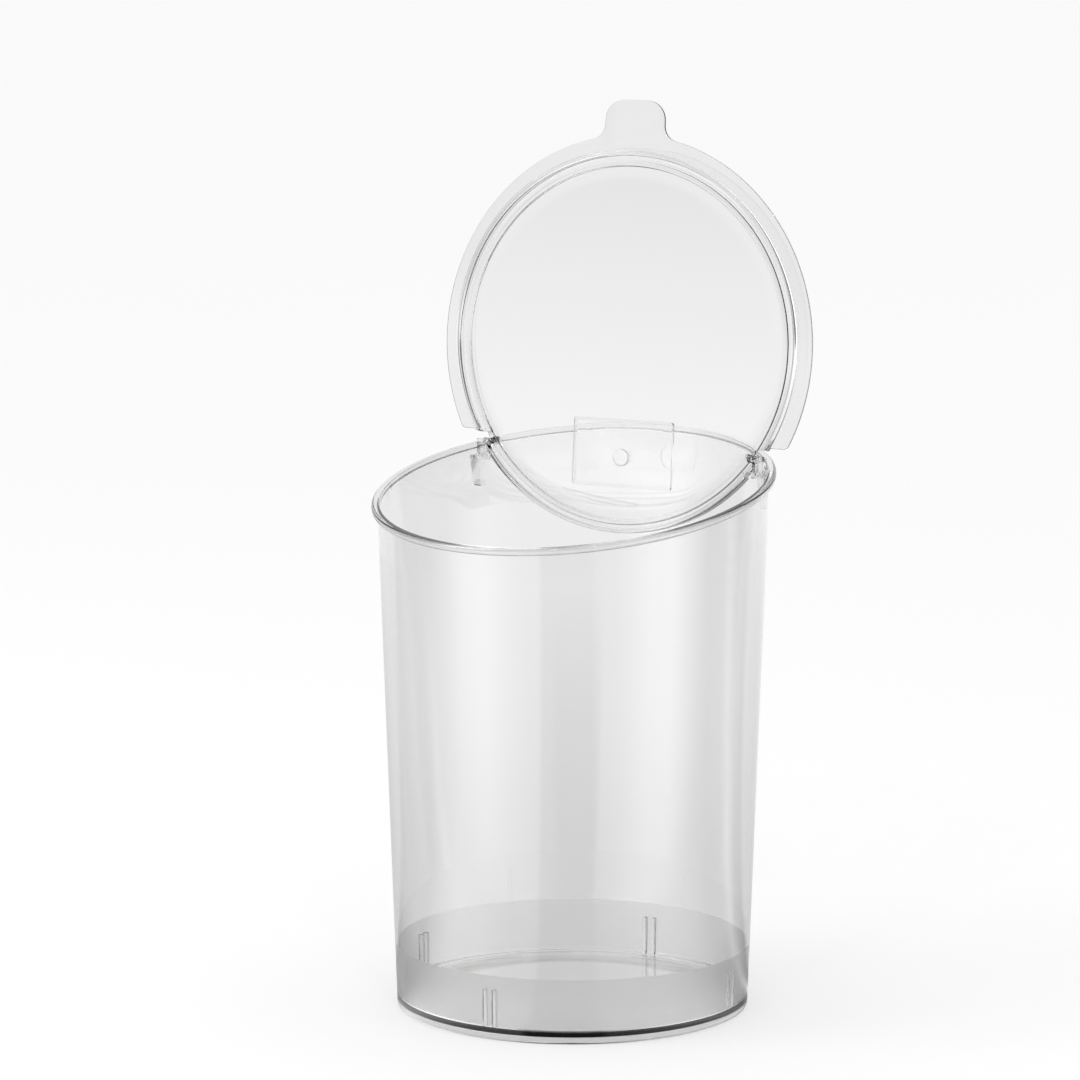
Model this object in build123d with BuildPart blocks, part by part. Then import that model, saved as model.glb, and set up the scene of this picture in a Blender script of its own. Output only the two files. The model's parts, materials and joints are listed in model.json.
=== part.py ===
from build123d import *
import os
from math import cos, radians, sin, sqrt, tan

# Clear storage jar with a slanted mouth and a hinged lid, in millimetres.
# The origin is the centre of the foot on the ground, +Z is up and the low side of the mouth faces -Y.
# The lid is modelled open, resting on its stops.

# Canister
foot_radius = 123.0  # outside of the wall, carried down to the ground
wall_taper = 2.01  # degrees that the wall leans away from the axis
wall = 1.6
mouth_height = 366.9  # height of the mouth's plane on the axis
mouth_slant = 10.5  # degrees that the mouth rises towards the back
foot_height = 4.6  # from the ground to the underside of the floor
floor_thickness = 4.0
foot_width = 4.8  # from the outside of the wall to the hollow under the floor
foot_round = 2.8
floor_round = 2.2

# Lip around the mouth
lip_width = 4.4
lip_height = 4.6
lip_top = 0.6  # above the mouth's plane
lip_round = 2.2

# Pairs of ribs that stand on the floor against the wall
rib_sides = 4
rib_width = 2.8
rib_depth = 3.0
rib_height = 27.0
rib_spacing = 7.0
rib_round = 1.2

# How far a shape runs past the surface that cuts it off
overrun = 30.0

# Lid, flat apart from its rings
lid_thickness = 2.0
lid_gap = 0.3  # between the closed lid and the lip
open_angle = 105.4  # degrees from closed to resting on the stops
brim_overhang = 4.0  # beyond the lip
brim_step = 1.8  # from the notch round the bracket to the straight end of the brim
brim_round = 4.0
edge_round = 0.6

# Ring under the lid that enters the mouth
ring_side_gap = 0.9  # to the wall at the left and right
ring_rear_gap = 2.0  # to the wall at the rear, which swings down inside it
ring_wall = 2.6
ring_depth = 7.0

# Low stiffening ridge inside that ring
ridge_gap = 4.0
ridge_wall = 3.6
ridge_depth = 3.0

# Finger tab at the front of the lid
tab_width = 47.0
tab_length = 24.0
tab_round = 14.0
tab_flare = 11.0

# Hinge pins, pressed into knuckles of the lid
hinge_from_rear = 61.26  # from the wall at the rear of the mouth to the hinge axis, along the lid
pin_radius = 2.2
pin_inset = 6.4  # held in the knuckle
pin_end_gap = 0.4  # to the wall
pin_chamfer = 0.3
knuckle_wall = 1.2
knuckle_back = 1.2  # closed end behind the pin
running_gap = 0.6  # between the knuckle and its bracket, along the pin
notch_gap = 0.66  # between the bracket and the closed lid's ring, in front of it

# Hinge brackets, bonded to the inside of the wall
bond = 0.2  # thickness of the adhesive
cradle_depth = 6.3  # from the wall inwards
cradle_wall = 1.8  # beside the pin
cradle_rise = 1.4  # above the hinge axis
cradle_drop = 12.0  # below the hinge axis
cradle_round = 0.5
pin_clearance = 0.05
snap_grip = 0.5  # by which the mouth of the cradle is narrower than the pin
pad_depth = 2.5  # from the wall inwards
pad_front = 9.4  # in front of the hinge axis
pad_rear = 3.0
pad_height = 24.0
pad_draft = 2.2
pad_round = 2.0
skirt_clearance = 0.5  # between the closed lid's ring and the pad under it
stop_hold = 2.5  # over the edge of the ring
stop_start = 8.7  # from the hinge axis along the open lid
stop_width = 3.4
stop_height = 4.2
stop_gap = 0.3

# Label holder, a flat sleeve on top of the lid, held by one stud
holder_width = 78.0
holder_length = 48.0
holder_centre = 2.7  # behind the hinge axis
holder_round = 2.0
leaf = 0.8
card_gap = 1.0
holder_rail = 2.2
thumb_radius = 9.0
stud_offset = 2.7  # behind the holder's centre
stud_radius = 2.5
stud_head_radius = 6.0
stud_head = 1.0

# Cone of the wall and plane of the mouth
floor_top = foot_height + floor_thickness
lean = tan(radians(wall_taper))
rise = tan(radians(mouth_slant))
level = cos(radians(mouth_slant))
mouth_radius = foot_radius + lean * mouth_height
mouth_centre = mouth_radius * lean * rise / level
wall_top = mouth_height + mouth_radius * rise + overrun
mouth_plane = Plane(
    origin=(0, 0, mouth_height),
    x_dir=(1, 0, 0),
    z_dir=(0, -sin(radians(mouth_slant)), level),
)


def outer_radius(height):
    return foot_radius + lean * height


def inner_radius(height):
    return outer_radius(height) - wall


# Plane of the open lid, with the hinge axis along x and the rear of the lid along y
mouth_half_length = (mouth_radius - wall) / level
hinge_back = mouth_half_length - hinge_from_rear
hinge_lift = lip_top + lid_gap + lid_thickness / 2
hinge = mouth_plane.from_local_coords((0, mouth_centre + hinge_back, hinge_lift))
lid_lean = radians(open_angle - mouth_slant)
lid_plane = Plane(origin=hinge, x_dir=(1, 0, 0), z_dir=(0, sin(lid_lean), cos(lid_lean)))
lid_axis = Axis(origin=hinge, direction=lid_plane.z_dir)
lid_centre = (0, -hinge_back)

# Lid's outlines; its ring runs straight down into the mouth when the lid is closed
brim_half_width = mouth_radius + lip_width + brim_overhang
brim_half_length = mouth_radius / level + lip_width + brim_overhang
brim_front = -hinge_back - brim_half_length
ring_half_width = mouth_radius - wall - ring_side_gap
ring_half_length = mouth_half_length - ring_rear_gap
ridge_half_width = ring_half_width - ring_wall - ridge_gap
ridge_half_length = ring_half_length - ring_wall - ridge_gap
into_mouth = lid_plane.y_dir * -sin(radians(mouth_slant)) + lid_plane.z_dir * -level
ring_slide = ring_depth * sin(radians(mouth_slant))
ring_bottom = -lid_thickness / 2 - ring_depth * level
stud_place = holder_centre + stud_offset


# Half width of the space inside the wall at the height of the hinge
def wall_beside(y):
    return sqrt(inner_radius(hinge.Z) ** 2 - y**2)


# Half width of the ring's lower edge, some way behind the hinge axis
def ring_beside(behind):
    return ring_half_width * sqrt(1 - ((hinge_back + ring_slide + behind) / ring_half_length) ** 2)


# Hinge, from the wall inwards
cradle_inside = wall_beside(hinge.Y) - cradle_depth
cradle_half_width = pin_radius + cradle_wall
pad_inside = wall_beside(hinge.Y) - pad_depth
pad_drop = ring_depth + (lid_thickness / 2 + skirt_clearance) / level
stop_inside = ring_beside(stop_start) - stop_hold
stop_back = stop_width + stop_gap - ring_bottom  # from its front face to the hinge axis
knuckle_end = cradle_inside - running_gap
knuckle_length = pin_inset + knuckle_back
pin_inside = knuckle_end - pin_inset
pin_length = wall_beside(hinge.Y + pin_radius) - pin_end_gap - pin_inside
notch_front = (cradle_half_width + notch_gap - ring_bottom * sin(radians(mouth_slant))) / level
brim_end = notch_front + brim_step


# Space inside the wall or some way clear of it, carried on above the mouth
def space_inside(gap):
    with BuildPart() as space:
        with BuildSketch(Plane.XZ):
            with BuildLine():
                Polyline(
                    (0, floor_top + gap),
                    (inner_radius(floor_top) - gap, floor_top + gap),
                    (inner_radius(wall_top) - gap, wall_top),
                    (0, wall_top),
                    close=True,
                )
            make_face()
            fillet(vertices().group_by(Axis.Y)[0].sort_by(Axis.X)[-1], radius=floor_round)
        revolve(axis=Axis.Z)
    return space.part


inner_space = space_inside(0)
bracket_space = space_inside(bond)
rib_space = space_inside(-wall / 2)

# Eight small ribs, two on each side, sunk into the wall and the floor
with BuildPart() as ribs:
    with BuildSketch(Plane.XY.offset(floor_top - wall / 2)):
        with PolarLocations(inner_radius(floor_top) - rib_depth, rib_sides):
            with GridLocations(0, rib_spacing, 1, 2):
                Rectangle(rib_depth + overrun, rib_width, align=(Align.MIN, Align.CENTER))
    extrude(amount=rib_height + wall / 2)
    fillet(ribs.edges().group_by(Axis.Z)[-1], radius=rib_round)
    add(rib_space, mode=Mode.INTERSECT)

# Canister with its foot, wall and lip in one piece
with BuildPart() as canister:
    with BuildSketch(Plane.XZ):
        with BuildLine():
            Polyline(
                (0, foot_height),
                (foot_radius - foot_width, foot_height),
                (foot_radius - foot_width, 0),
                (foot_radius, 0),
                (outer_radius(wall_top), wall_top),
                (0, wall_top),
                close=True,
            )
        make_face()
        fillet(vertices().group_by(Axis.Y)[0].sort_by(Axis.X)[-1], radius=foot_round)
    revolve(axis=Axis.Z)
    split(bisect_by=mouth_plane.offset(lip_top), keep=Keep.BOTTOM)
    with BuildSketch(mouth_plane.offset(lip_top)):
        with Locations((0, mouth_centre)):
            Ellipse(mouth_radius + lip_width, mouth_radius / level + lip_width)
    extrude(amount=-lip_height)
    lip_axis = Axis(origin=(0, 0, mouth_height), direction=mouth_plane.z_dir)
    lip_edges = canister.edges().filter_by(GeomType.ELLIPSE).sort_by(lip_axis)
    fillet(lip_edges[-1], radius=lip_round)
    add(inner_space, mode=Mode.SUBTRACT)
    add(ribs.part)
canister.part.label = "canister"

# Planes across the hinge axis, level with it or turned with the lid; x is the distance from the middle
def hinge_section(x):
    return Plane(origin=(x, hinge.Y, hinge.Z), x_dir=(0, 1, 0), z_dir=(1, 0, 0))


def lid_section(x):
    return Plane(origin=(x, hinge.Y, hinge.Z), x_dir=lid_plane.y_dir, z_dir=(1, 0, 0))


# Bracket at the right: a pad on the wall, a cradle for the pin and a ledge that stops the lid
with BuildPart() as hinge_bracket_right:
    with BuildSketch(hinge_section(pad_inside)):
        with BuildLine():
            Polyline(
                (-pad_front, -pad_front * rise - pad_drop),
                (pad_rear, pad_rear * rise - pad_drop),
                (pad_rear - pad_draft / 2, -pad_drop - pad_height),
                (-pad_front + pad_draft, -pad_drop - pad_height),
                close=True,
            )
        make_face()
        fillet(vertices().group_by(Axis.Y)[0], radius=pad_round)
    extrude(amount=mouth_radius - pad_inside)
    with BuildSketch(hinge_section(cradle_inside)):
        with Locations((0, (cradle_rise - cradle_drop) / 2)):
            Rectangle(2 * cradle_half_width, cradle_rise + cradle_drop)
        fillet(vertices().group_by(Axis.Y)[-1], radius=cradle_round)
        Circle(pin_radius + pin_clearance, mode=Mode.SUBTRACT)
        with Locations((0, cradle_rise)):
            Rectangle(2 * pin_radius - snap_grip, 2 * cradle_rise, mode=Mode.SUBTRACT)
    extrude(amount=mouth_radius - cradle_inside)
    for inside, thickness in ((stop_inside, stop_width), (cradle_inside, stop_back)):
        with BuildSketch(lid_section(inside)):
            with Locations((stop_start, ring_bottom - stop_gap - stop_width)):
                Rectangle(stop_height, thickness, align=(Align.MIN, Align.MIN))
        extrude(amount=pad_inside - inside)
    add(bracket_space, mode=Mode.INTERSECT)
hinge_bracket_right.part.label = "hinge_bracket_right"

with BuildPart() as hinge_bracket_left:
    mirror(hinge_bracket_right.part, about=Plane.YZ)
hinge_bracket_left.part.label = "hinge_bracket_left"

# Round pins, each with one end in a knuckle of the lid and the other in its cradle
with BuildPart() as hinge_pin_right:
    with BuildSketch(hinge_section(pin_inside)):
        Circle(pin_radius)
    extrude(amount=pin_length)
    chamfer(hinge_pin_right.edges().filter_by(GeomType.CIRCLE), length=pin_chamfer)
hinge_pin_right.part.label = "hinge_pin_right"

with BuildPart() as hinge_pin_left:
    mirror(hinge_pin_right.part, about=Plane.YZ)
hinge_pin_left.part.label = "hinge_pin_left"

# Lid: a flat plate with a ring that enters the mouth, a low ridge inside that ring and two knuckles
with BuildPart() as lid:
    with BuildSketch(lid_plane.offset(-lid_thickness / 2)) as brim_outline:
        with Locations(lid_centre):
            Ellipse(brim_half_width, brim_half_length)
        with Locations((0, brim_front)):
            Rectangle(tab_width, 2 * tab_length)
        fillet(brim_outline.vertices().group_by(Axis.Y)[0], radius=tab_round)
        tab_roots = brim_outline.vertices().filter_by_position(Axis.Y, brim_front, brim_front + tab_length)
        fillet(tab_roots, radius=tab_flare)
        with Locations((0, -brim_end)):
            rear_half = (Align.CENTER, Align.MIN)
            Rectangle(2 * brim_half_width, 2 * brim_half_length, align=rear_half, mode=Mode.SUBTRACT)
        fillet(brim_outline.vertices().group_by(Axis.Y)[-1], radius=brim_round)
    extrude(amount=lid_thickness)
    brim_faces = lid.faces().filter_by(lid_plane)
    fillet(brim_faces.edges(), radius=edge_round)
    with BuildSketch(lid_plane.offset(-lid_thickness / 2)):
        with Locations(lid_centre):
            Ellipse(ring_half_width, ring_half_length)
    extrude(amount=lid_thickness)
    with BuildSketch(lid_plane.offset(-lid_thickness / 2)):
        with Locations(lid_centre):
            Ellipse(ring_half_width, ring_half_length)
            Ellipse(ring_half_width - ring_wall, ring_half_length - ring_wall, mode=Mode.SUBTRACT)
    extrude(amount=ring_depth, dir=into_mouth)
    with BuildSketch(lid_plane.offset(-lid_thickness / 2)):
        with Locations(lid_centre):
            Ellipse(ridge_half_width, ridge_half_length)
            Ellipse(ridge_half_width - ridge_wall, ridge_half_length - ridge_wall, mode=Mode.SUBTRACT)
    extrude(amount=-ridge_depth)
    with BuildSketch(lid_plane.offset(lid_thickness)):
        with Locations((knuckle_end, -notch_front), (-knuckle_end - overrun, -notch_front)):
            Rectangle(overrun, ring_half_length, align=(Align.MIN, Align.MIN))
    extrude(amount=ring_bottom - 2 * lid_thickness, mode=Mode.SUBTRACT)
    for side in (-1, 1):
        with BuildSketch(hinge_section(side * (knuckle_end - knuckle_length / 2))):
            Circle(pin_radius + knuckle_wall)
        extrude(amount=knuckle_length / 2, both=True)
        with BuildSketch(hinge_section(side * knuckle_end)):
            Circle(pin_radius)
        extrude(amount=-side * pin_inset, mode=Mode.SUBTRACT)
    with BuildSketch(lid_plane):
        with Locations((0, stud_place)):
            Circle(stud_radius)
    extrude(amount=lid_thickness, both=True, mode=Mode.SUBTRACT)
lid.part.label = "lid"

# Label holder: a flat sleeve, open at the right, whose front leaf has a thumb notch there
holder_plane = lid_plane.offset(lid_thickness / 2)
with BuildPart() as label_holder:
    with BuildSketch(holder_plane):
        with Locations((0, holder_centre)):
            RectangleRounded(holder_width, holder_length, holder_round)
    extrude(amount=2 * leaf + card_gap)
    with BuildSketch(holder_plane.offset(leaf)):
        with Locations((holder_width / 2, holder_centre)):
            card_width = holder_width - holder_rail
            Rectangle(card_width, holder_length - 2 * holder_rail, align=(Align.MAX, Align.CENTER))
    extrude(amount=card_gap, mode=Mode.SUBTRACT)
    with BuildSketch(holder_plane.offset(leaf)):
        with Locations((holder_width / 2, holder_centre)):
            Circle(thumb_radius)
    extrude(amount=card_gap + 2 * leaf, mode=Mode.SUBTRACT)
    with BuildSketch(holder_plane):
        with Locations((0, stud_place)):
            Circle(stud_radius)
    extrude(amount=leaf, mode=Mode.SUBTRACT)
label_holder.part.label = "label_holder"

# Stud: its head is under the lid and its shank fills the hole through the lid and the back leaf
with BuildPart() as holder_stud:
    with BuildSketch(lid_plane.offset(-lid_thickness / 2)):
        with Locations((0, stud_place)):
            Circle(stud_head_radius)
    extrude(amount=-stud_head)
    fillet(holder_stud.faces().sort_by(lid_axis)[0].edges(), radius=edge_round)
    with BuildSketch(lid_plane.offset(-lid_thickness / 2)):
        with Locations((0, stud_place)):
            Circle(stud_radius)
    extrude(amount=lid_thickness + leaf)
holder_stud.part.label = "holder_stud"

os.makedirs("parts", exist_ok=True)
pieces = [
    canister,
    hinge_bracket_left,
    hinge_bracket_right,
    hinge_pin_left,
    hinge_pin_right,
    lid,
    label_holder,
    holder_stud,
]
for piece in pieces:
    export_step(piece.part, f"parts/{piece.part.label}.step")
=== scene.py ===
import json
from math import cos, pi, radians, sin, sqrt, tan

import bpy
import numpy as np
from mathutils import Matrix, Vector

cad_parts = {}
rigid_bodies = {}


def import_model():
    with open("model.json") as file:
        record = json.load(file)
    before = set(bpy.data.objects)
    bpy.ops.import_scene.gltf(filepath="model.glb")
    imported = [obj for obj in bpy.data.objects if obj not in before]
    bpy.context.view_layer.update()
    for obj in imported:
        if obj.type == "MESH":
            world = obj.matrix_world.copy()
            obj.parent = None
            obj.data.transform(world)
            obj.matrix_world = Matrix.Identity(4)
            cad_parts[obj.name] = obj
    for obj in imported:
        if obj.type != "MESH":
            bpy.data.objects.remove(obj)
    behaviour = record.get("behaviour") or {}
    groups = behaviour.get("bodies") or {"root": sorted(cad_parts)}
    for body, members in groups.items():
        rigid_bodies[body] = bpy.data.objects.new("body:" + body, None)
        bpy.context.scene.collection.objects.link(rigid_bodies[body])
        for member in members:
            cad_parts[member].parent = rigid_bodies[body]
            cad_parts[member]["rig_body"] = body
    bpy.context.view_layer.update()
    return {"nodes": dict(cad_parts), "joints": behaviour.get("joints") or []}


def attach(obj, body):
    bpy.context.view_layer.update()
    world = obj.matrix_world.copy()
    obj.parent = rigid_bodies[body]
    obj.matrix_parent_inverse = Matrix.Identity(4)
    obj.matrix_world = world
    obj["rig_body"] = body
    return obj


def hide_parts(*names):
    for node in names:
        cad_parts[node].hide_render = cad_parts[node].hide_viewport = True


# Clear storage jar with a slanted mouth and a hinged lid.
# Shapes are worked out in millimetres and written into the meshes in metres.

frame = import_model()
mm = 0.001
weldWithin = 1e-6  # metres
creaseDegrees = 34
hinge = np.array(frame["joints"][0]["pos_m"]) / mm
print("frame loaded, hinge at", np.round(hinge, 2))


# Shared mesh helpers

def arc(centre, radius, fromDegrees, toDegrees, steps):
    # point = centre + radius * (cos a, sin a) for evenly spaced angles a
    a = np.radians(np.linspace(fromDegrees, toDegrees, steps))
    return np.stack([centre[0] + radius * np.cos(a), centre[1] + radius * np.sin(a)], axis=-1)


def skin(rows):
    # rows[v, u] is a closed surface: u runs round and closes, the first and last row shrink to a point
    count, around = rows.shape[:2]
    points = np.vstack([rows[0, :1], rows[1:-1].reshape(-1, 3), rows[-1, :1]])
    u = np.arange(around)
    uNext = (u + 1) % around
    start = 1 + np.arange(count - 3)[:, None] * around
    quads = np.stack([start + u, start + uNext, start + around + uNext, start + around + u], axis=-1)
    end = len(points) - 1
    firstFan = np.stack([np.zeros_like(u), 1 + uNext, 1 + u], axis=-1)
    lastFan = np.stack([np.full_like(u, end), end - around + u, end - around + uNext], axis=-1)
    return points, (quads.reshape(-1, 4), firstFan, lastFan)


def turned(profile, around):
    # revolves (r, z) pairs about Z: point = (r cos a, r sin a, z)
    a = np.linspace(0, 2 * pi, around, endpoint=False)
    r, z = profile[:, :1], profile[:, 1:]
    return np.stack([r * np.cos(a), r * np.sin(a), z + 0 * a], axis=-1)


def signedVolume(points, faces):
    # sum of a . (b x c) / 6 over the triangles that each face fans into
    total = 0.0
    for same in faces:
        for k in range(1, same.shape[1] - 1):
            a, b, c = points[same[:, 0]], points[same[:, k]], points[same[:, k + 1]]
            total += np.einsum("ij,ij->", a, np.cross(b, c)) / 6
    return total


def makeMesh(name, points, faces):
    # quads come first, then the triangles; all are turned round together where they point inwards
    order = -1 if signedVolume(points, faces) < 0 else 1
    mesh = bpy.data.meshes.new(name)
    mesh.from_pydata((points * mm).tolist(), [], sum((same[:, ::order].tolist() for same in faces), []))
    mesh.validate()
    piece = bpy.data.objects.new(name, mesh)
    bpy.context.scene.collection.objects.link(piece)
    return piece


def applied(piece):
    # the piece's modifiers are made part of its mesh
    depsgraph = bpy.context.evaluated_depsgraph_get()
    mesh = bpy.data.meshes.new_from_object(piece.evaluated_get(depsgraph))
    piece.modifiers.clear()
    piece.data = mesh
    return piece


def combined(piece, others, operation):
    # exact union with, or difference from, every other solid; these are used up
    for other in others:
        step = piece.modifiers.new(operation.lower(), "BOOLEAN")
        step.operation, step.solver, step.object = operation, "EXACT", other
    applied(piece)
    for other in others:
        bpy.data.objects.remove(other)
    return piece


def welded(piece):
    # points that lie in the same place become one
    step = piece.modifiers.new("weld", "WELD")
    step.merge_threshold = weldWithin
    return applied(piece)


def finished(piece, crease=creaseDegrees):
    # smooth shading, with creases kept where two faces meet at more than that angle
    piece.data.shade_smooth()
    piece.data.set_sharp_from_angle(angle=radians(crease))
    return piece


# Camera at the photograph's viewing angle
camera = {"azimuth": 28.0218, "pitch": 8.7924, "distance": 3.40804, "lens": 163.69, "sensor": 36.0,
          "target": (-0.0201, -0.0107, 0.3284), "clip": (0.1, 200)}


def makeCamera(c):
    # stands at target + distance * back, looking along -back
    a, e = radians(c["azimuth"]), radians(c["pitch"])
    right = Vector((cos(a), sin(a), 0))
    back = Vector((sin(a) * cos(e), -cos(a) * cos(e), sin(e)))
    up = back.cross(right)
    data = bpy.data.cameras.new("camera")
    data.lens, data.sensor_width = c["lens"], c["sensor"]
    data.clip_start, data.clip_end = c["clip"]
    seen = bpy.data.objects.new("camera", data)
    turn = Matrix((right, up, back)).transposed()
    seen.matrix_world = Matrix.Translation(Vector(c["target"]) + c["distance"] * back) @ turn.to_4x4()
    bpy.context.scene.collection.objects.link(seen)
    bpy.context.scene.camera = seen


makeCamera(camera)
print("camera placed")


# Canister
jar = {
    "footRadius": 123.0,  # outside of the wall at the ground
    "taper": 2.01,  # degrees
    "wall": 1.6,
    "mouthHeight": 366.9,
    "slant": 10.5,  # degrees
    "footHeight": 4.6,  # from the ground to the underside of the floor
    "floorTop": 8.6,
    "footWidth": 4.8,  # from the outside of the wall to the hollow under the floor
    "footRound": 2.8,
    "floorRound": 2.2,
    "lipWidth": 4.4,
    "lipHeight": 4.6,
    "lipTop": 0.6,  # above the mouth's plane
    "lipRound": 2.2,
    "lipLowRound": 1.4,
    "mouthRound": 1.0,
    "smallRound": 0.5,
    "frostTop": 45.4,
    "around": 360,
}
ribShape = {"sides": 4, "width": 2.8, "depth": 3.0, "height": 27.0, "spacing": 7.0, "round": 1.2,
            "sink": 0.8, "power": 6, "around": 28}

lean = tan(radians(jar["taper"]))
rise = tan(radians(jar["slant"]))
level = cos(radians(jar["slant"]))
theta = np.linspace(0, 2 * pi, jar["around"], endpoint=False)
mouthUp = np.array([0, -sin(radians(jar["slant"])), level])
mouthRadius = jar["footRadius"] + lean * jar["mouthHeight"]


def wallRow(inset, above):
    # the cone, moved in by inset, met by the mouth's plane raised by above:
    # z = (height + above / cos s + tan s * r0 * sin a) / (1 - tan s * tan t * sin a), r = r0 + tan t * z
    r0 = jar["footRadius"] - inset
    sine = np.sin(theta)
    z = (jar["mouthHeight"] + above / level + rise * r0 * sine) / (1 - rise * lean * sine)
    r = r0 + lean * z
    return np.stack([r * np.cos(theta), r * sine, z], axis=-1)


def outwards():
    # unit vector in the mouth's plane, square to its ellipse (x/a)^2 + (y/b)^2 = 1
    row = wallRow(0, 0)
    centre = row.mean(axis=0)
    x = (row[:, 0] - centre[0]) / mouthRadius**2
    y = (row[:, 1] - centre[1]) / level / (mouthRadius / level) ** 2
    n = np.stack([x, y * level, y * sin(radians(jar["slant"]))], axis=-1)
    return n / np.linalg.norm(n, axis=-1, keepdims=True)


def between(rowA, rowB, shares):
    # rows on the way from one to the other: rowA + share * (rowB - rowA)
    return [rowA + share * (rowB - rowA) for share in shares]


def jarRows():
    # profile from under the floor's middle, out round the foot, up the wall, over the lip and back inside;
    # each round is corner - radius * (1 - sin a) along one side - radius * (1 - cos a) along the other
    j = jar
    innerFoot = j["footRadius"] - j["footWidth"]
    small = j["smallRound"]
    wallTurn = -j["taper"]
    footX = j["footRadius"] + lean * j["footRound"] - j["footRound"] / cos(radians(j["taper"]))
    floorZ = j["floorTop"] + j["floorRound"]
    floorX = j["footRadius"] - j["wall"] + lean * floorZ - j["floorRound"] / cos(radians(j["taper"]))
    under = np.vstack([
        [[0, j["footHeight"]], [innerFoot * 0.3, j["footHeight"]], [innerFoot * 0.7, j["footHeight"]]],
        arc((innerFoot - 2 * small, j["footHeight"] - 2 * small), 2 * small, 90, 0, 5),
        arc((innerFoot + small, small), small, 180, 270, 5),
        arc((footX, j["footRound"]), j["footRound"], -90, wallTurn, 15),
    ])
    floor = np.vstack([
        arc((floorX, floorZ), j["floorRound"], wallTurn, -90, 9),
        [[floorX * share, j["floorTop"]] for share in (0.97, 0.7, 0.3, 0)],
    ])
    under, floor = turned(under, j["around"]), turned(floor, j["around"])
    out = outwards()
    root = wallRow(0, j["lipTop"] - j["lipHeight"])
    rootDown = root - wallRow(0, j["lipTop"] - j["lipHeight"] - 1)
    rootDown /= np.linalg.norm(rootDown, axis=-1, keepdims=True)
    edge = wallRow(0, 0) + j["lipWidth"] * out
    top, lipBottom = j["lipTop"], j["lipTop"] - j["lipHeight"]
    rows = list(under)
    start = root - small * rootDown
    rows += between(under[-1], start, np.linspace(0, 1, 14)[1:-1])
    for a in np.radians(np.linspace(0, 90, 5)):  # hollow under the lip
        rows.append(root - small * (1 - sin(a)) * rootDown + small * (1 - cos(a)) * out)
    low = j["lipLowRound"]
    for a in np.radians(np.linspace(0, 90, 7)):  # lower edge of the lip
        rows.append(edge - low * (1 - sin(a)) * out + (lipBottom + low * (1 - cos(a))) * mouthUp)
    for a in np.radians(np.linspace(0, 90, 11)):  # upper edge of the lip
        down = top - j["lipRound"] * (1 - sin(a))
        rows.append(edge - j["lipRound"] * (1 - cos(a)) * out + down * mouthUp)
    inner = wallRow(j["wall"], top)
    innerDown = inner - wallRow(j["wall"], top - 1)
    innerDown /= np.linalg.norm(innerDown, axis=-1, keepdims=True)
    soft = j["mouthRound"]
    for a in np.radians(np.linspace(0, 90, 7)):  # inner edge of the mouth
        rows.append(inner + soft * (1 - sin(a)) * out - soft * (1 - cos(a)) * innerDown)
    frostR = j["footRadius"] - j["wall"] + lean * j["frostTop"]
    frost = turned(np.array([[frostR, j["frostTop"]]]), j["around"])[0]
    rows += between(rows[-1], frost, np.linspace(0, 1, 12)[1:])
    rows += between(frost, floor[0], np.linspace(0, 1, 5)[1:-1])
    rows += list(floor)
    return np.array(rows)


def makeRib(angle, side):
    # upright bar with a rounded top: a rounded box whose section is a superellipse, |u|^n + |v|^n = 1
    r = ribShape
    n = r["power"]
    a = np.linspace(0, 2 * pi, r["around"], endpoint=False)
    u = np.sign(np.cos(a)) * np.abs(np.cos(a)) ** (2 / n)
    v = np.sign(np.sin(a)) * np.abs(np.sin(a)) ** (2 / n)
    inner = jar["footRadius"] - jar["wall"] + lean * jar["floorTop"] - r["depth"]
    outer = inner + r["depth"] + lean * r["height"] + r["sink"] / 2
    low, high = jar["floorTop"] - r["sink"], jar["floorTop"] + r["height"]
    quarter = np.radians(np.linspace(0, 90, 7))
    heights = np.concatenate([[low, low], high - r["round"] + r["round"] * np.sin(quarter)])
    shrink = np.concatenate([[0, 1], 1 - (r["round"] / (r["width"] / 2)) * (1 - np.cos(quarter))])
    shrink[-1] = 0
    halfWide, halfDeep = r["width"] / 2, (outer - inner) / 2
    wide = halfWide * shrink
    deep = np.where(shrink > 0, halfDeep - (halfWide - wide), 0)
    x = (inner + outer) / 2 + deep[:, None] * u
    y = side * r["spacing"] / 2 + wide[:, None] * v
    z = heights[:, None] + 0 * u
    c, s = cos(angle), sin(angle)
    rows = np.stack([c * x - s * y, s * x + c * y, z], axis=-1)
    return makeMesh("rib", *skin(rows))


def makeJar():
    # the revolved and slanted body with its ribs joined on
    piece = makeMesh("jarBody", *skin(jarRows()))
    piece.data.materials.append(jarPlastic("jarPlastic"))
    sides = ribShape["sides"]
    ribs = [makeRib(2 * pi * k / sides, side) for k in range(sides) for side in (-1, 1)]
    for rib in ribs:
        rib.data.materials.append(piece.data.materials[0])
    combined(piece, ribs, "UNION")
    return finished(piece)


# Finishes
clearFinish = {"tint": (0.99, 0.99, 0.99), "ior": 1.57, "density": 14.0, "depthColor": (0.02, 0.02, 0.0),
               "hazeScale": 35.0, "roughLow": 0.0, "roughHigh": 0.015,
               "waveScale": 9.0, "waveBump": 0.02, "waveDepth": 0.0004}
lidFinish = {**clearFinish, "waveScale": 7.0}
smallFinish = {**clearFinish, "ior": 1.49, "waveScale": 60.0, "waveDepth": 0.0001}
holderFinish = {**smallFinish, "ior": 1.6, "density": 70.0}
studFinish = {**holderFinish, "density": 60.0}
slotFinish = {"bracket_clear": smallFinish, "pin_clear": smallFinish, "holder_clear": holderFinish,
              "stud_clear": studFinish}
frostFinish = {"clearShare": 0.88, "roughLow": 0.3, "roughHigh": 0.4, "blotchScale": 60.0,
               "grainScale": 1500.0, "grainBump": 0.3, "grainDepth": 0.00015,
               "wallSlack": 0.1, "aboveFloor": 0.3}
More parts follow.
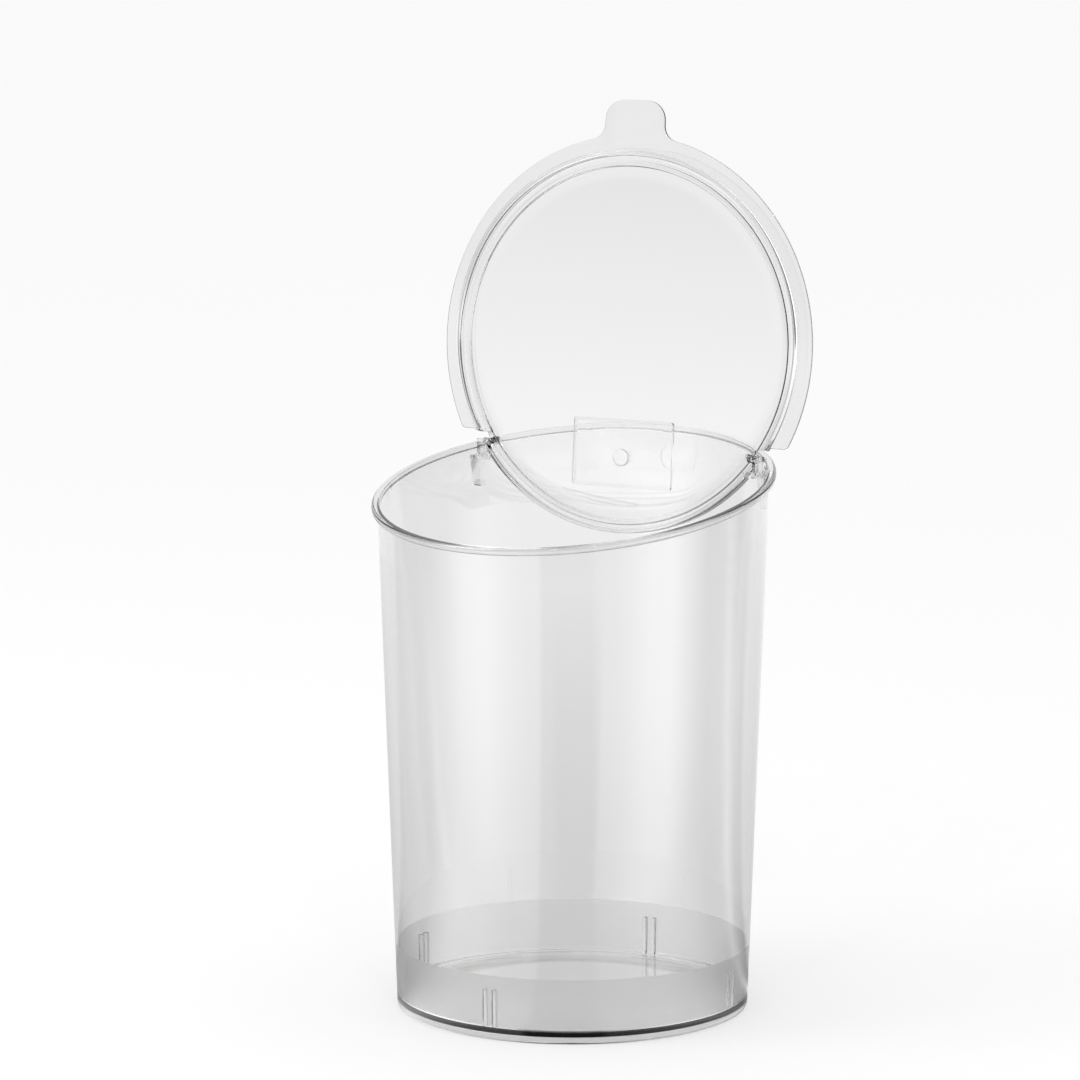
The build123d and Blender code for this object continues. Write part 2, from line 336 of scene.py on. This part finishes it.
noiseMiddle = (0.3, 0.7)  # most of a noise's values lie between these


def newMaterial(name, finish):
    # refracting shell, with light absorbed along the way through it
    material = bpy.data.materials.new(name)
    material.use_nodes = True
    nodes, links = material.node_tree.nodes, material.node_tree.links
    shader = nodes["Principled BSDF"]
    shader.inputs["Base Color"].default_value = (*finish["tint"], 1)
    shader.inputs["IOR"].default_value = finish["ior"]
    shader.inputs["Transmission Weight"].default_value = 1.0
    depth = nodes.new("ShaderNodeVolumeAbsorption")
    depth.inputs["Color"].default_value = (*finish["depthColor"], 1)
    depth.inputs["Density"].default_value = finish["density"]
    links.new(depth.outputs["Volume"], nodes["Material Output"].inputs["Volume"])
    place = nodes.new("ShaderNodeTexCoord")
    return material, nodes, links, shader, place


def feed(links, socket, value):
    # a number is set on the socket, an output is linked to it
    if isinstance(value, (int, float)):
        socket.default_value = value
    else:
        links.new(value, socket)


def mathNode(nodes, links, operation, first, second):
    # one operation on two values
    node = nodes.new("ShaderNodeMath")
    node.operation = operation
    feed(links, node.inputs[0], first)
    feed(links, node.inputs[1], second)
    return node.outputs[0]


def mixNode(nodes, links, share, first, second):
    # first where share is 0, second where it is 1
    node = nodes.new("ShaderNodeMix")
    node.data_type = "FLOAT"
    feed(links, node.inputs[0], share)
    feed(links, node.inputs[2], first)
    feed(links, node.inputs[3], second)
    return node.outputs[0]


def rangeNode(nodes, links, value, fromLow, fromHigh, toLow, toHigh, smooth=True):
    # value carried from one range to another, held at its ends
    node = nodes.new("ShaderNodeMapRange")
    node.interpolation_type = "SMOOTHSTEP" if smooth else "LINEAR"
    limits = {"From Min": fromLow, "From Max": fromHigh, "To Min": toLow, "To Max": toHigh}
    for name, number in limits.items():
        node.inputs[name].default_value = number
    links.new(value, node.inputs["Value"])
    return node.outputs["Result"]


def noiseNode(nodes, links, place, scale, detail):
    # noise on the object's own coordinates
    noise = nodes.new("ShaderNodeTexNoise")
    noise.inputs["Scale"].default_value = scale
    noise.inputs["Detail"].default_value = detail
    links.new(place.outputs["Object"], noise.inputs["Vector"])
    return noise.outputs["Fac"]


def bumpNode(nodes, links, height, strength, depth):
    # leans the normal by the slope of height * depth, in metres
    bump = nodes.new("ShaderNodeBump")
    feed(links, bump.inputs["Strength"], strength)
    bump.inputs["Distance"].default_value = depth
    links.new(height, bump.inputs["Height"])
    return bump


def clearPlastic(name, finish):
    # glossy, clear and colourless, with faint handling haze and the slight waviness of a moulding
    material, nodes, links, shader, place = newMaterial(name, finish)
    haze = noiseNode(nodes, links, place, finish["hazeScale"], 4.0)
    rough = rangeNode(nodes, links, haze, *noiseMiddle, finish["roughLow"], finish["roughHigh"])
    wave = noiseNode(nodes, links, place, finish["waveScale"], 1.0)
    bump = bumpNode(nodes, links, wave, finish["waveBump"], finish["waveDepth"])
    links.new(rough, shader.inputs["Roughness"])
    links.new(bump.outputs["Normal"], shader.inputs["Normal"])
    return material, nodes, links, shader, place, rough, bump


def jarPlastic(name):
    # clear, but etched matt on the inside of the wall, above the floor and below the frost line:
    # inside of the wall - slack < r - tan t * z < middle of the wall, and floor < z < frost line
    material, nodes, links, shader, place, rough, bump = clearPlastic(name, clearFinish)
    f = frostFinish
    split = nodes.new("ShaderNodeSeparateXYZ")
    links.new(place.outputs["Object"], split.inputs[0])
    x, y, z = (split.outputs[axis] for axis in "XYZ")
    xSquare = mathNode(nodes, links, "MULTIPLY", x, x)
    ySquare = mathNode(nodes, links, "MULTIPLY", y, y)
    radius = mathNode(nodes, links, "POWER", mathNode(nodes, links, "ADD", xSquare, ySquare), 0.5)
    foot = mathNode(nodes, links, "SUBTRACT", radius, mathNode(nodes, links, "MULTIPLY", z, lean))
    middle = (jar["footRadius"] - jar["wall"] / 2) * mm
    innerFace = (jar["footRadius"] - jar["wall"] - f["wallSlack"]) * mm
    inside = mathNode(nodes, links, "LESS_THAN", foot, middle)
    nearWall = mathNode(nodes, links, "GREATER_THAN", foot, innerFace)
    low = mathNode(nodes, links, "GREATER_THAN", z, (jar["floorTop"] + f["aboveFloor"]) * mm)
    high = mathNode(nodes, links, "LESS_THAN", z, jar["frostTop"] * mm)
    frosted = mathNode(nodes, links, "MULTIPLY", inside, nearWall)
    frosted = mathNode(nodes, links, "MULTIPLY", frosted, mathNode(nodes, links, "MULTIPLY", low, high))
    blotch = noiseNode(nodes, links, place, f["blotchScale"], 3.0)
    blotch = rangeNode(nodes, links, blotch, *noiseMiddle, f["roughLow"], f["roughHigh"])
    links.new(mixNode(nodes, links, frosted, rough, blotch), shader.inputs["Roughness"])
    grain = bumpNode(nodes, links, noiseNode(nodes, links, place, f["grainScale"], 2.0),
                     mathNode(nodes, links, "MULTIPLY", frosted, f["grainBump"]), f["grainDepth"])
    links.new(mixNode(nodes, links, frosted, 1.0, f["clearShare"]), shader.inputs["Transmission Weight"])
    links.new(bump.outputs["Normal"], grain.inputs["Normal"])
    links.new(grain.outputs["Normal"], shader.inputs["Normal"])
    return material


body = makeJar()
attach(body, "canister")
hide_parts("canister")
print("canister made,", len(body.data.polygons), "faces")


# Lid, in its own plane: x along the hinge, y towards its rear, z out of its top
lidShape = {
    "thickness": 2.0,
    "faceGap": 0.02,  # so that the plate's faces and those of the holder and stud don't coincide
    "openAngle": 105.4,  # degrees from closed
    "hingeBack": 75.3,  # from the lid's middle to the hinge
    "overhang": 4.0,  # of the brim beyond the lip
    "edgeRound": 0.6,
    "ringSideGap": 0.9,
    "ringRearGap": 2.0,
    "ringWall": 2.6,
    "ringDepth": 7.0,
    "ridgeGap": 4.0,
    "ridgeWall": 3.6,
    "ridgeDepth": 3.0,
    "softRound": 0.7,  # edges and roots of the ring and ridge
    "tabWidth": 47.0,
    "tabLength": 24.0,
    "tabRound": 14.0,
    "tabFlare": 11.0,
    "brimEnd": 8.0,  # in front of the hinge, like the notch
    "brimRound": 4.0,
    "notchFront": 6.2,
    "knuckleEnd": 105.42,
    "knuckleRadius": 3.4,
    "knuckleLength": 7.6,
    "pinInset": 6.4,
    "pinHole": 2.25,
    "cutLap": 0.03,  # by which joined and cut shapes run past each other
    "brimSteps": 6001,  # fine steps along the brim's ellipse, in which the ends of its rounds are found
    "studAt": 5.4,  # behind the hinge
    "studRadius": 2.5,
    "studHeadRadius": 6.0,
    "studHead": 1.0,
    "leaf": 0.8,
}
lidTurn = radians(lidShape["openAngle"] - jar["slant"])
lidAxes = np.array([[1, 0, 0], [0, cos(lidTurn), -sin(lidTurn)], [0, sin(lidTurn), cos(lidTurn)]])


def lidOutline():
    # right half from the tab's tip round to the rear, then the left half as its mirror image;
    # brim and ring are ellipses (a cos p, b sin p - back), and the centre of a round on the brim
    # lies on its ellipse grown or shrunk by the round's radius
    s = lidShape
    a = mouthRadius + jar["lipWidth"] + s["overhang"]
    b = mouthRadius / level + jar["lipWidth"] + s["overhang"]
    ringA, ringB = ringAxes(0)
    back = s["hingeBack"]
    half, tip = s["tabWidth"] / 2, -back - b - s["tabLength"]
    psi = np.radians(np.linspace(-90, 60, s["brimSteps"]))
    brim = np.stack([a * np.cos(psi), b * np.sin(psi) - back], axis=-1)
    flareX = half + s["tabFlare"]
    flareY = -back - (b + s["tabFlare"]) * sqrt(1 - (flareX / (a + s["tabFlare"])) ** 2)
    flareHit = np.argmin(np.hypot(brim[:, 0] - flareX, brim[:, 1] - flareY))
    flareEnd = np.degrees(np.arctan2(brim[flareHit, 1] - flareY, brim[flareHit, 0] - flareX))
    cornerY = -s["brimEnd"] - s["brimRound"]
    cornerX = (a - s["brimRound"]) * sqrt(1 - ((cornerY + back) / (b - s["brimRound"])) ** 2)
    away = np.hypot(brim[:, 0] - cornerX, brim[:, 1] - cornerY)
    cornerHit = np.argmin(away)
    cornerFrom = np.degrees(np.arctan2(brim[cornerHit, 1] - cornerY, brim[cornerHit, 0] - cornerX))

    def ringX(y):
        # half width of the ring's ellipse at y: a * sqrt(1 - ((y + back) / b)^2)
        return ringA * sqrt(1 - ((y + back) / ringB) ** 2)

    def onRing(angles):
        # (a cos p, b sin p - back)
        return np.stack([ringA * np.cos(angles), ringB * np.sin(angles) - back], axis=-1)

    knuckleX, notchY, endY = s["knuckleEnd"], -s["notchFront"], -s["brimEnd"]
    rearY = ringB * sqrt(1 - (knuckleX / ringA) ** 2) - back
    frontAngles = [np.arcsin((y + back) / ringB) for y in (endY, notchY)]
    rearAngles = np.linspace(np.arcsin((rearY + back) / ringB), pi / 2, 120)
    onBrim = brim[np.linspace(flareHit, cornerHit, 220).astype(int)]
    right = np.vstack([
        [[0, tip], [(half - s["tabRound"]) / 2, tip]],
        arc((half - s["tabRound"], tip + s["tabRound"]), s["tabRound"], -90, 0, 14),
        arc((flareX, flareY), s["tabFlare"], 180, flareEnd, 12),
        onBrim[1:-1],
        arc((cornerX, cornerY), s["brimRound"], cornerFrom, 90, 9),
        np.linspace((cornerX, endY), (ringX(endY), endY), 10)[1:-1],
        onRing(np.linspace(*frontAngles, 5)),
        np.linspace((ringX(notchY), notchY), (knuckleX, notchY), 12)[1:],
        np.linspace((knuckleX, notchY), (knuckleX, rearY), 14)[1:-1],
        onRing(rearAngles),
    ])
    left = right[-2:0:-1] * (-1, 1)
    return np.vstack([right, left])


def ringAxes(inset):
    # half width and half length of the ring's outer ellipse, moved in by inset
    inner = mouthRadius - jar["wall"]
    return inner - lidShape["ringSideGap"] - inset, inner / level - lidShape["ringRearGap"] - inset


def lidRows():
    # every column runs from the middle of the top to a point of the outline, round its edge and back under;
    # point = (ringA * share * way x, ringB * share * way y - back), share is 1 on the ring's outer ellipse
    s = lidShape
    outline = lidOutline()
    ringA, ringB = ringAxes(0)
    scaled = np.stack([outline[:, 0] / ringA, (outline[:, 1] + s["hingeBack"]) / ringB], axis=-1)
    reach = np.hypot(scaled[:, 0], scaled[:, 1])
    way = scaled / reach[:, None]
    along = np.roll(outline, -1, axis=0) - np.roll(outline, 1, axis=0)
    outward = np.stack([along[:, 1], -along[:, 0]], axis=-1)
    outward /= np.linalg.norm(outward, axis=-1, keepdims=True)
    h, r = s["thickness"] / 2 - s["faceGap"], s["edgeRound"]
    depth, slide = s["ringDepth"] * level, s["ringDepth"] * sin(radians(jar["slant"]))
    soft = s["softRound"]
    quarter = np.radians(np.linspace(0, 90, 6))

    def inset(k):
        # distance from the middle, as a share, of the ring's ellipse moved in by k, kept inside the outline
        a, b = ringAxes(k)
        share = 1 / np.hypot(ringA * way[:, 0] / a, ringB * way[:, 1] / b)
        return np.minimum(share, reach)

    def place(share, z, shift=0.0):
        # point of each column at that share of the ring's ellipse, at height z and shifted along y
        x = ringA * share * way[:, 0]
        y = ringB * share * way[:, 1] - s["hingeBack"] + shift
        return np.stack([x, y, z + 0 * x], axis=-1)

    def edgeRow(d, z):
        # the outline moved in by d, a number for each of its points
        flat = outline - d[:, None] * outward
        return np.stack([flat[:, 0], flat[:, 1], z + 0 * flat[:, 0]], axis=-1)

    ringHere = (reach > inset(s["ringWall"]) + 1e-6).astype(float)
    onBrim = (reach > 1 + 1e-4) | (ringHere == 0)
    rows = [place(0 * reach, h)] + [place(share + 0 * reach, h) for share in (0.3, 0.6, 0.9)]
    rows += [edgeRow(r * (1 - sin(q)) + 0 * reach, h - r * (1 - cos(q))) for q in quarter]
    rows += [edgeRow(r * (1 - cos(q)) * onBrim, -h + r * (1 - sin(q))) for q in quarter]

    def bead(outer, width, drop, rowShift, here):
        # a rib under the plate: root fillet, outer side, rounded edges, inner side, root fillet
        made = []
        for q in quarter:
            made.append(place(inset(outer - soft * (1 - sin(q))), -h - here * soft * (1 - cos(q))))
        for q in quarter:
            z = -h - here * (drop - soft * (1 - sin(q)))
            made.append(place(inset(outer + soft * (1 - cos(q))), z, here * rowShift))
        for q in quarter[::-1]:
            z = -h - here * (drop - soft * (1 - sin(q)))
            made.append(place(inset(outer + width - soft * (1 - cos(q))), z, here * rowShift))
        for q in quarter[::-1]:
            z = -h - here * soft * (1 - cos(q))
            made.append(place(inset(outer + width + soft * (1 - sin(q))), z))
        return made

    rows += bead(0, s["ringWall"], depth, -slide, ringHere)
    ridgeAt = s["ringWall"] + s["ridgeGap"]
    rows += bead(ridgeAt, s["ridgeWall"], s["ridgeDepth"], 0, 1 + 0 * reach)
    rows += [place(share + 0 * reach, -h) for share in (0.85, 0.6, 0.3)] + [place(0 * reach, -h)]
    return np.array(rows)


def fromLid(points):
    # from the lid's own x, y, z to the jar's frame
    return hinge + points @ lidAxes


drumAround = 96


def makeDrum(name, start, direction, length, radius):
    # closed cylinder: point = start + height * n + radius * (cos a * side + sin a * up)
    n = np.array(direction, float)
    side = np.cross(n, [0, 0, 1] if abs(n[2]) < 0.9 else [1, 0, 0])
    side /= np.linalg.norm(side)
    up = np.cross(n, side)
    a = np.linspace(0, 2 * pi, drumAround, endpoint=False)[:, None]
    circle = radius * (np.cos(a) * side + np.sin(a) * up)
    base = np.array(start, float)
    rows = [base + 0 * circle, base + circle, base + length * n + circle, base + length * n + 0 * circle]
    return makeMesh(name, *skin(np.array(rows)))


def makeLid():
    # the panel with its knuckles joined on and their pin holes cut
    s = lidShape
    lap = s["cutLap"]
    piece = welded(makeMesh("lidPanel", *skin(fromLid(lidRows()))))
    clear = clearPlastic("lidPlastic", lidFinish)[0]
    piece.data.materials.append(clear)
    knuckles, holes = [], []
    for side in (-1, 1):
        along = (side, 0, 0)
        start = hinge + np.array([side * (s["knuckleEnd"] - s["knuckleLength"]), 0, 0])
        knuckles.append(makeDrum("knuckle", start, along, s["knuckleLength"] + lap, s["knuckleRadius"]))
        start = hinge + np.array([side * (s["knuckleEnd"] - s["pinInset"] - lap), 0, 0])
        holes.append(makeDrum("pinHole", start, along, s["pinInset"] + 1, s["pinHole"]))
    for part in knuckles + holes:
        part.data.materials.append(clear)
    combined(piece, knuckles, "UNION")
    combined(piece, holes, "DIFFERENCE")
    return finished(piece)


lid = makeLid()
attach(lid, "lid")
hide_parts("lid")
print("lid made,", len(lid.data.polygons), "faces")


# Small pieces take the shape of their solids with moulded edges: node, slot, edge radius
smallPieces = (
    ("hinge_bracket_left", "bracket_clear", 0.45),
    ("hinge_bracket_right", "bracket_clear", 0.45),
    ("hinge_pin_left", "pin_clear", 0.15),
    ("hinge_pin_right", "pin_clear", 0.15),
    ("label_holder", "holder_clear", 0.35),
    ("holder_stud", "stud_clear", 0.35),
)
smallCrease = 20  # degrees


def onStud(name, fromZ, length, radius):
    # closed cylinder on the stud's axis, from a height in the lid's frame
    start = fromLid(np.array([[0, lidShape["studAt"], fromZ]]))[0]
    return makeDrum(name, start, lidAxes[2], length, radius)


def smallSolid(node):
    # the stud is its head alone and the holder has no hole for it: a pressed stud shows no gap there
    s = lidShape
    if node == "holder_stud":
        under = -s["thickness"] / 2 - s["studHead"]
        return onStud(node + "_moulded", under, s["studHead"], s["studHeadRadius"])
    source = frame["nodes"][node].data
    points, corners = np.empty(3 * len(source.vertices)), np.empty(len(source.loops), int)
    source.vertices.foreach_get("co", points)
    source.loops.foreach_get("vertex_index", corners)
    piece = welded(makeMesh(node + "_moulded", points.reshape(-1, 3) / mm, (corners.reshape(-1, 3),)))
    if node == "label_holder":
        combined(piece, [onStud("plug", s["thickness"] / 2, s["leaf"], s["studRadius"])], "UNION")
    return piece


def softened(piece, edgeRadius):
    # sharp edges rounded off in two segments
    edges = piece.modifiers.new("edges", "BEVEL")
    edges.width, edges.segments = edgeRadius * mm, 2
    edges.limit_method, edges.angle_limit = "ANGLE", radians(creaseDegrees)
    return finished(applied(piece), smallCrease)


def dressSmall():
    # one material for each slot
    made = {}
    for node, slot, edgeRadius in smallPieces:
        if slot not in made:
            made[slot] = clearPlastic(slot, slotFinish[slot])[0]
        piece = softened(smallSolid(node), edgeRadius)
        piece.data.materials.clear()
        piece.data.materials.append(made[slot])
        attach(piece, frame["nodes"][node]["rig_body"])
        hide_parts(node)


dressSmall()
print("small pieces dressed")


# Floor, world and lamps
studio = {
    "floorSize": 60.0,
    "floorColor": 0.93,
    "floorWhite": 0.5,  # share of plain white in what the camera sees of the floor
    "floorThrough": 0.8,  # the same through clear pieces
    "worldDiffuse": 0.97,
    "turn": 62.0,  # degrees that bring the middle of the panels to +X
    # panels that a reflection meets: degrees round from the middle, and strength
    "nearPanels": ((-180, 0.75), (-132, 0.75), (-126, 0.5), (-92, 0.5), (-68, 1.8), (-52, 1.7),
                   (-35, 1.1), (-19, 0.85), (-17.8, 0.2), (10.8, 0.2), (12, 0.5), (42, 1.2),
                   (58, 1.2), (85, 0.35), (97, 0.5), (104, 1.0), (112, 0.4), (120, 0.4),
                   (126, 0.75), (146, 0.75), (165, 0.9), (180, 0.9)),
    "farPanels": ((-180, 1.0), (-132, 1.0), (-126, 0.45), (-92, 0.45), (-66, 2.0), (-52, 2.0),
                  (-30, 1.25), (30, 1.25), (42, 1.45), (58, 1.45), (85, 0.45), (126, 0.45),
                  (131, 1.0), (180, 1.0)),
    "nearTo": (1.0, 3.2),  # metres along the floor from the near panels to the far ones
    "paintedShade": (0.3, 1.3, 0.9),  # metres over which the floor's painted shade near the jar lightens, and its level there
    "panelTop": (0.0, 0.11),  # sine of the height at which the panels fade out
    "upperGlow": 0.2,  # above the panels
    "behindGlow": 0.95,  # the same behind the object
    "behind": (105, 135),  # degrees round from the middle at which it goes over
    "topGlow": 0.12,  # the soft light overhead
    "topFrom": (0.55, 0.85),
    "clearLevel": 0.82,  # what is seen through clear pieces, low down
    "clearTop": (0.2, 0.38),  # it goes dim between these heights
    "clearUpper": 0.05,
    "keyPower": 14.0,
    "keySize": 1.2,
    "keyPlace": (-1.6, -1.4, 2.2),
    "lampTarget": (0, 0, 0.3),
    "glintPower": 2.0,
    "glintSize": 0.08,
    "glintPlaces": ((0.23, -1.4, 1.9), (0.81, -1.16, 1.9)),
    "clearBounces": 24,
    "mirrorBounces": 12,
}


def bearing(nodes, links, vector):
    # angle round the object from the middle of the panels: atan2 of the turned x and y
    turn = nodes.new("ShaderNodeVectorRotate")
    turn.rotation_type = "Z_AXIS"
    turn.inputs["Angle"].default_value = radians(studio["turn"])
    links.new(vector, turn.inputs["Vector"])
    split = nodes.new("ShaderNodeSeparateXYZ")
    links.new(turn.outputs["Vector"], split.inputs[0])
    return mathNode(nodes, links, "ARCTAN2", split.outputs["Y"], split.outputs["X"])


def panelPattern(nodes, links, angle, panels):
    # strength by the angle round the object, as a ramp
    share = rangeNode(nodes, links, angle, -pi, pi, 0, 1, smooth=False)
    ramp = nodes.new("ShaderNodeValToRGB")
    links.new(share, ramp.inputs["Fac"])
    top = max(strength for place, strength in panels)
    stops = ramp.color_ramp.elements
    for number, (place, strength) in enumerate(panels):
        at = (place + 180) / 360
        stop = stops[number] if number < 2 else stops.new(at)
        stop.position = at
        stop.color = (strength / top,) * 3 + (1,)
    return mathNode(nodes, links, "MULTIPLY", ramp.outputs["Color"], top)


def makeFloor():
    # pale and matt; reflections meet the panels in it, and the camera and clear pieces a whiter floor
    half = studio["floorSize"] / 2
    corners = np.array([[-half, -half, 0], [half, -half, 0], [half, half, 0], [-half, half, 0]])
    mesh = bpy.data.meshes.new("floor")
    mesh.from_pydata(corners.tolist(), [], [(0, 1, 2, 3)])
    floor = bpy.data.objects.new("floor", mesh)
    bpy.context.scene.collection.objects.link(floor)
    material = bpy.data.materials.new("paleFloor")
    material.use_nodes = True
    nodes, links = material.node_tree.nodes, material.node_tree.links
    nodes.remove(nodes["Principled BSDF"])
    matt = nodes.new("ShaderNodeBsdfDiffuse")
    matt.inputs["Color"].default_value = (studio["floorColor"],) * 3 + (1,)
    white = nodes.new("ShaderNodeEmission")
    panels = nodes.new("ShaderNodeEmission")
    place = nodes.new("ShaderNodeTexCoord")
    reach = nodes.new("ShaderNodeVectorMath")
    reach.operation = "LENGTH"
    links.new(place.outputs["Object"], reach.inputs[0])
    far = rangeNode(nodes, links, reach.outputs["Value"], *studio["nearTo"], 0, 1)
    angle = bearing(nodes, links, place.outputs["Object"])
    nearBy = panelPattern(nodes, links, angle, studio["nearPanels"])
    farOff = panelPattern(nodes, links, angle, studio["farPanels"])
    # painted shade: the floor's glow, seen through clear pieces and in reflections, is dimmed near the jar
    # to stand in for its shadow
    shadeFrom, shadeTo, shadeLevel = studio["paintedShade"]
    paintedShade = rangeNode(nodes, links, reach.outputs["Value"], shadeFrom, shadeTo, shadeLevel, 1)
    pattern = mixNode(nodes, links, far, nearBy, farOff)
    links.new(mathNode(nodes, links, "MULTIPLY", pattern, paintedShade), panels.inputs["Strength"])
    path = nodes.new("ShaderNodeLightPath")
    through = mathNode(nodes, links, "MULTIPLY", paintedShade, studio["clearLevel"])
    links.new(mixNode(nodes, links, path.outputs["Is Camera Ray"], through, 1.0), white.inputs["Strength"])
    seen = mixNode(nodes, links, path.outputs["Is Transmission Ray"], 0.0, studio["floorThrough"])
    seen = mixNode(nodes, links, path.outputs["Is Camera Ray"], seen, studio["floorWhite"])
    plain = nodes.new("ShaderNodeMixShader")
    links.new(seen, plain.inputs[0])
    links.new(matt.outputs[0], plain.inputs[1])
    links.new(white.outputs[0], plain.inputs[2])
    mirrored = mathNode(nodes, links, "GREATER_THAN", path.outputs["Glossy Depth"], 0.5)
    first = mathNode(nodes, links, "LESS_THAN", path.outputs["Diffuse Depth"], 0.5)
    mirrored = mathNode(nodes, links, "MULTIPLY", mirrored, first)
    both = nodes.new("ShaderNodeMixShader")
    links.new(mirrored, both.inputs[0])
    links.new(plain.outputs[0], both.inputs[1])
    links.new(panels.outputs[0], both.inputs[2])
    links.new(both.outputs[0], nodes["Material Output"].inputs["Surface"])
    mesh.materials.append(material)


def makeWorld():
    # even white light; panels for reflections; white low down and dimmer above for what clear pieces show
    world = bpy.data.worlds.new("studio")
    bpy.context.scene.world = world
    world.use_nodes = True
    nodes, links = world.node_tree.nodes, world.node_tree.links
    back = nodes["Background"]
    back.inputs["Color"].default_value = (1, 1, 1, 1)
    place = nodes.new("ShaderNodeTexCoord")
    split = nodes.new("ShaderNodeSeparateXYZ")
    links.new(place.outputs["Generated"], split.inputs[0])
    height = split.outputs["Z"]
    path = nodes.new("ShaderNodeLightPath")
    overhead = rangeNode(nodes, links, height, *studio["topFrom"], 0, studio["topGlow"])
    low = rangeNode(nodes, links, height, *studio["panelTop"], 1, 0)
    angle = bearing(nodes, links, place.outputs["Generated"])
    pattern = panelPattern(nodes, links, angle, studio["farPanels"])
    panels = mathNode(nodes, links, "MULTIPLY", pattern, low)
    aside = mathNode(nodes, links, "MAXIMUM", angle, mathNode(nodes, links, "MULTIPLY", angle, -1.0))
    behind = np.radians(studio["behind"]).tolist()
    glow = rangeNode(nodes, links, aside, *behind, studio["upperGlow"], studio["behindGlow"])
    high = rangeNode(nodes, links, height, *studio["panelTop"], 0, 1)
    high = mathNode(nodes, links, "MULTIPLY", high, glow)
    mirror = mathNode(nodes, links, "ADD", mathNode(nodes, links, "ADD", panels, high), overhead)
    clear = rangeNode(nodes, links, height, *studio["clearTop"], studio["clearLevel"], studio["clearUpper"])
    clear = mathNode(nodes, links, "ADD", clear, overhead)
    mirrored = mathNode(nodes, links, "GREATER_THAN", path.outputs["Glossy Depth"], 0.5)
    value = mixNode(nodes, links, path.outputs["Is Transmission Ray"], studio["worldDiffuse"], clear)
    value = mixNode(nodes, links, mirrored, value, mirror)
    bounced = mathNode(nodes, links, "GREATER_THAN", path.outputs["Diffuse Depth"], 0.5)
    value = mixNode(nodes, links, bounced, value, studio["worldDiffuse"])
    value = mixNode(nodes, links, path.outputs["Is Camera Ray"], value, 1.0)
    links.new(value, back.inputs["Strength"])


def makeLamp(name, place, target, size, power):
    # square lamp that looks from place to target
    data = bpy.data.lights.new(name, "AREA")
    data.shape, data.size, data.energy = "SQUARE", size, power
    lamp = bpy.data.objects.new(name, data)
    lamp.location = place
    lamp.rotation_euler = (Vector(target) - Vector(place)).to_track_quat("-Z", "Y").to_euler()
    bpy.context.scene.collection.objects.link(lamp)


makeFloor()
makeWorld()
makeLamp("keyLamp", studio["keyPlace"], studio["lampTarget"], studio["keySize"], studio["keyPower"])
for glintPlace in studio["glintPlaces"]:
    makeLamp("glintLamp", glintPlace, studio["lampTarget"], studio["glintSize"], studio["glintPower"])
scene = bpy.context.scene
scene.view_settings.view_transform = "Standard"
scene.cycles.max_bounces = studio["clearBounces"]
scene.cycles.transmission_bounces = studio["clearBounces"]
scene.cycles.glossy_bounces = studio["mirrorBounces"]
print("studio made")
